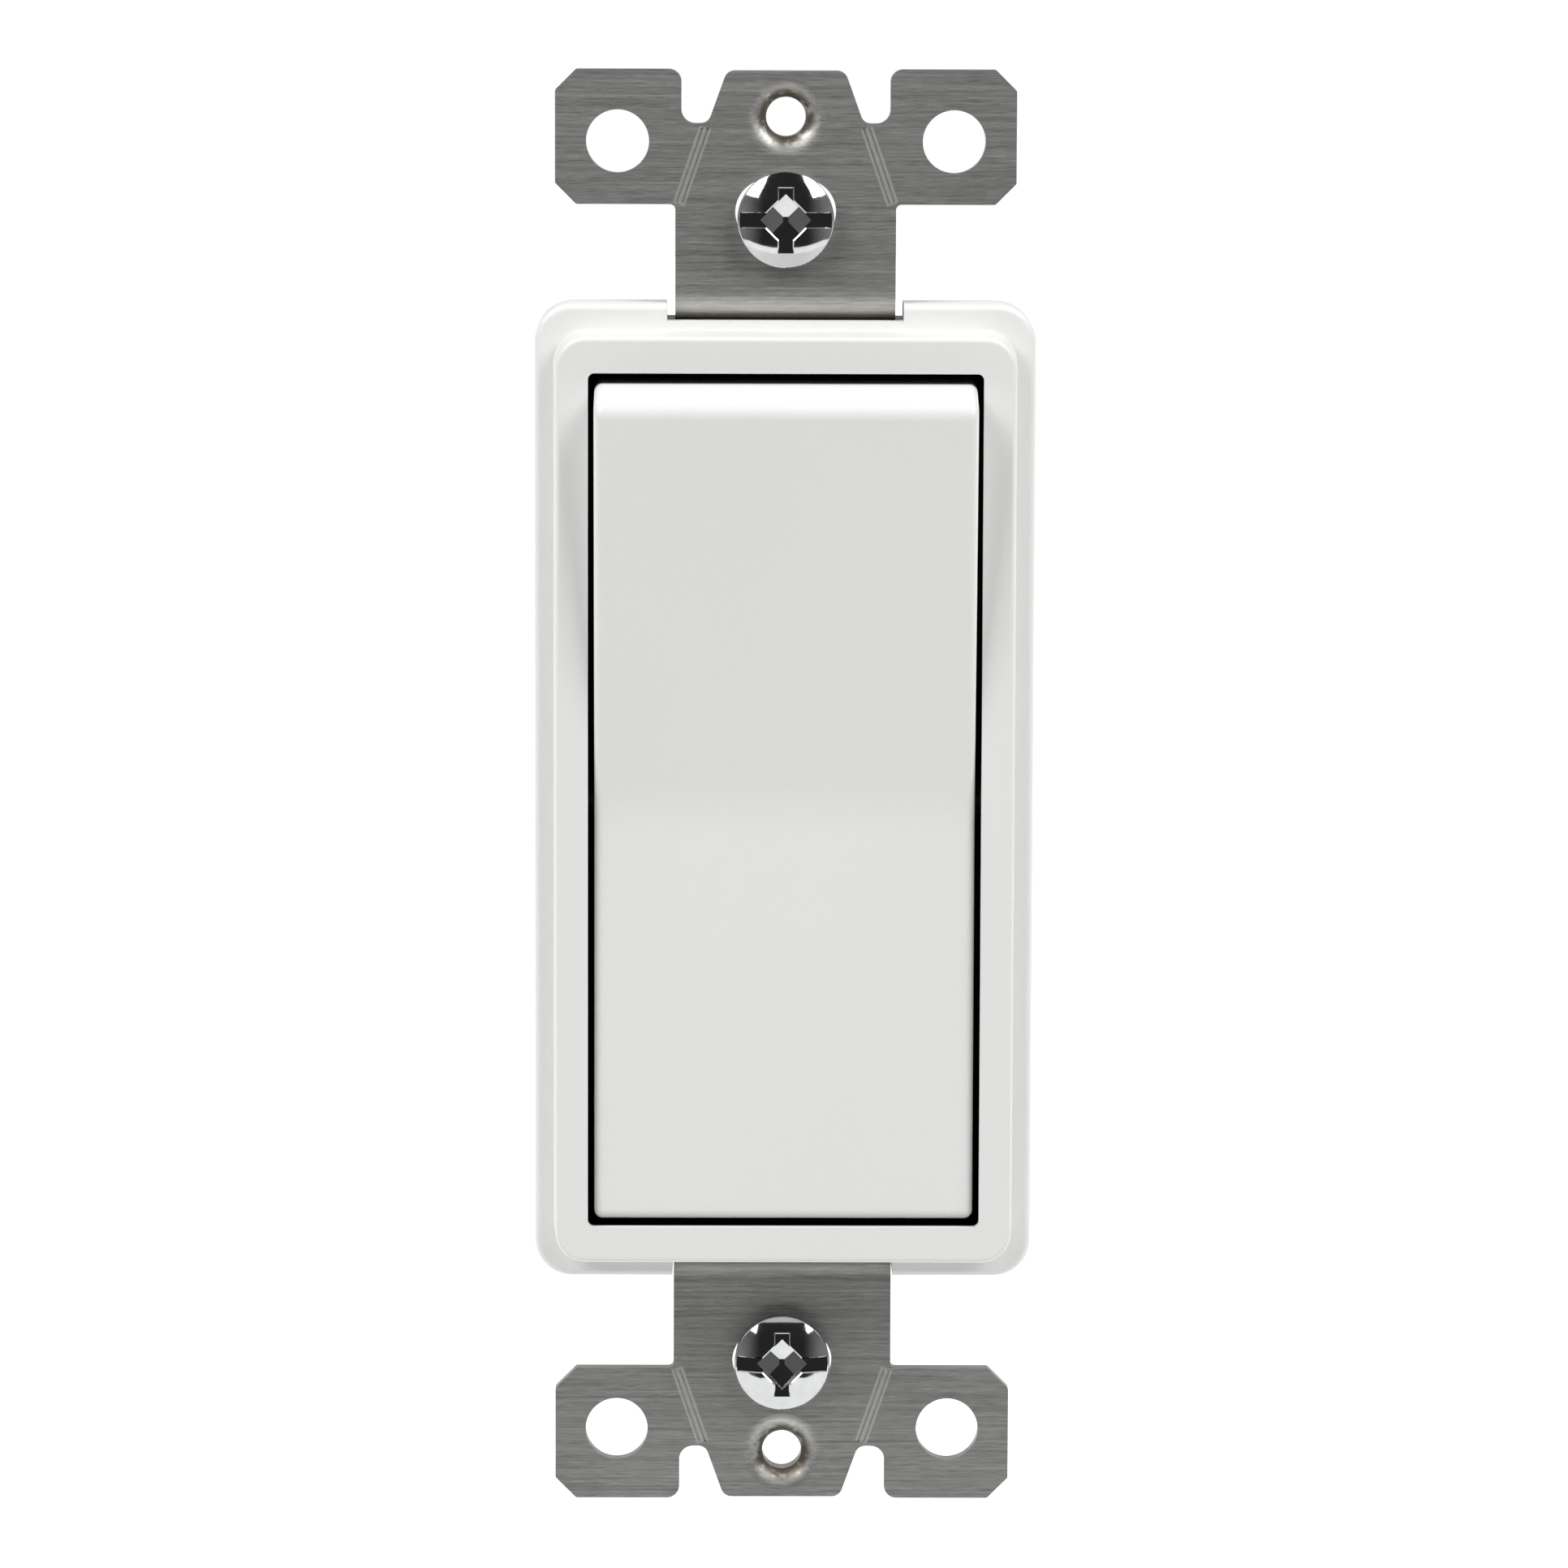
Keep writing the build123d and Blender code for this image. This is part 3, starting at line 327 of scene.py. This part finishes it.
def paint_shade_on_paddle_skirt(tree):
    """Depth is measured along the boss, which leans with the paddle at rest."""
    _, y, z = axes(tree)
    depth = math_node(tree, "ADD", times(tree, y, math.cos(REST_TILT)), times(tree, z, math.sin(REST_TILT)))
    # Painted shade: the skirt turns near-black deeper than the set depth.
    blend_base(tree, step_up(tree, depth, *SKIRT_DEPTH), GAP_SHADE_TONE)


def paint_shade_in_frame_cavity(tree):
    x, y, z = axes(tree)
    wide = math_node(tree, "LESS_THAN", size_of(tree, x), CAVITY_HALF_WIDTH)
    tall = math_node(tree, "LESS_THAN", size_of(tree, z), CAVITY_HALF_HEIGHT)
    deep = step_up(tree, y, FRAME_FRONT_Y + 0.6 * MM, FRAME_FRONT_Y + 1.0 * MM)
    # Painted shade: the cavity's walls behind the front lip turn near-black.
    blend_base(tree, times(tree, wide, tall, deep), GAP_SHADE_TONE)


paint_shade_on_paddle_skirt(looks["rocker_paddle"].node_tree)
paint_shade_in_frame_cavity(looks["front_frame"].node_tree)

for name, obj in nodes.items():
    obj.data.materials.clear()
    obj.data.materials.append(looks[same.get(name, name)])

# ------------------------------------------------------------------ stage
FLOOR_Z = -0.30
FLOOR_HALF_WIDTH = 4.0
FLOOR_FRONT_Y, FLOOR_BACK_Y = -0.42, 6.0
FLOOR_GLOW = 1.3


def pale_floor():
    mat, _, shader = fresh("pale_floor")
    shader.inputs["Base Color"].default_value = (0.05, 0.05, 0.05, 1)
    shader.inputs["Roughness"].default_value = 0.9
    shader.inputs["Emission Color"].default_value = (1, 1, 1, 1)
    shader.inputs["Emission Strength"].default_value = FLOOR_GLOW
    left, right = -FLOOR_HALF_WIDTH, FLOOR_HALF_WIDTH
    corners = [(left, FLOOR_FRONT_Y, FLOOR_Z), (right, FLOOR_FRONT_Y, FLOOR_Z),
               (right, FLOOR_BACK_Y, FLOOR_Z), (left, FLOOR_BACK_Y, FLOOR_Z)]
    mesh = bpy.data.meshes.new("floor")
    mesh.from_pydata(corners, [], [(0, 1, 2, 3)])
    obj = bpy.data.objects.new("floor", mesh)
    scene.collection.objects.link(obj)
    obj.data.materials.append(mat)


BACKDROP = 1.02
FRONT_LIGHT, BACK_LIGHT = 0.03, 0.52
SIDE_SHARE = 0.6


def studio_world():
    """A white backdrop. Its light on the object is dim in front and brighter behind and at the sides."""
    world = bpy.data.worlds.new("studio")
    scene.world = world
    world.use_nodes = True
    tree = world.node_tree
    backdrop = tree.nodes["Background"]
    backdrop.inputs["Color"].default_value = (1, 1, 1, 1)
    backdrop.inputs["Strength"].default_value = BACKDROP
    dim = tree.nodes.new("ShaderNodeBackground")
    dim.inputs["Strength"].default_value = 1.0
    direction = tree.nodes.new("ShaderNodeTexCoord")
    split = tree.nodes.new("ShaderNodeSeparateXYZ")
    tree.links.new(direction.outputs["Generated"], split.inputs[0])
    behind = step_up(tree, split.outputs["Y"], -0.35, 0.35)
    beside = step_up(tree, size_of(tree, split.outputs["X"]), 0.45, 0.95)
    glow = math_node(tree, "MAXIMUM", behind, times(tree, beside, SIDE_SHARE))
    sweep = ramp(tree, glow, [(0.0, (FRONT_LIGHT,) * 3), (1.0, (BACK_LIGHT,) * 3)])
    tree.links.new(sweep, dim.inputs["Color"])
    path = tree.nodes.new("ShaderNodeLightPath")
    mix = tree.nodes.new("ShaderNodeMixShader")
    tree.links.new(path.outputs["Is Camera Ray"], mix.inputs["Fac"])
    tree.links.new(dim.outputs[0], mix.inputs[1])
    tree.links.new(backdrop.outputs[0], mix.inputs[2])
    tree.links.new(mix.outputs[0], tree.nodes["World Output"].inputs["Surface"])


SOFTBOX_AZIMUTH, SOFTBOX_ELEVATION = 53, 44
SOFTBOX_DISTANCE = 1.1
SOFTBOX_SIZE = (0.52, 0.66)
SOFTBOX_POWER = 9.2


def softbox(name, azimuth):
    """A soft light that faces the object. Its size is width and height."""
    a, e = math.radians(azimuth), math.radians(SOFTBOX_ELEVATION)
    away = Vector((math.sin(a) * math.cos(e), -math.cos(a) * math.cos(e), math.sin(e)))
    data = bpy.data.lights.new(name, "AREA")
    data.shape = "RECTANGLE"
    data.size, data.size_y = SOFTBOX_SIZE
    data.energy = SOFTBOX_POWER
    lamp = bpy.data.objects.new(name, data)
    lamp.location = away * SOFTBOX_DISTANCE
    lamp.rotation_mode = "QUATERNION"
    lamp.rotation_quaternion = (-away).to_track_quat("-Z", "Y")
    scene.collection.objects.link(lamp)


pale_floor()
studio_world()
softbox("softbox_left", -SOFTBOX_AZIMUTH)
softbox("softbox_right", SOFTBOX_AZIMUTH)

# ------------------------------------------------------------------ camera
CAMERA_PLACE = Vector((-0.00521, -0.5512, 0.06943))
CAMERA_PITCH, CAMERA_ROLL, CAMERA_PAN = (math.radians(v) for v in (7.138, 0.1225, 0.5397))
CAMERA_SENSOR_MM = 36
CAMERA_LENS_MM = 176.85

turn = (Matrix.Rotation(CAMERA_PAN, 3, "Z") @ Matrix.Rotation(CAMERA_ROLL, 3, "Y")
        @ Matrix.Rotation(CAMERA_PITCH, 3, "X")).transposed()
right, ahead, up = turn @ Vector((1, 0, 0)), turn @ Vector((0, 1, 0)), turn @ Vector((0, 0, 1))
cam_data = bpy.data.cameras.new("camera")
cam_data.sensor_width = CAMERA_SENSOR_MM
cam_data.lens = CAMERA_LENS_MM
cam = bpy.data.objects.new("camera", cam_data)
basis = Matrix((right, up, -ahead)).transposed().to_4x4()
cam.matrix_world = Matrix.Translation(CAMERA_PLACE) @ basis
scene.collection.objects.link(cam)
scene.camera = cam
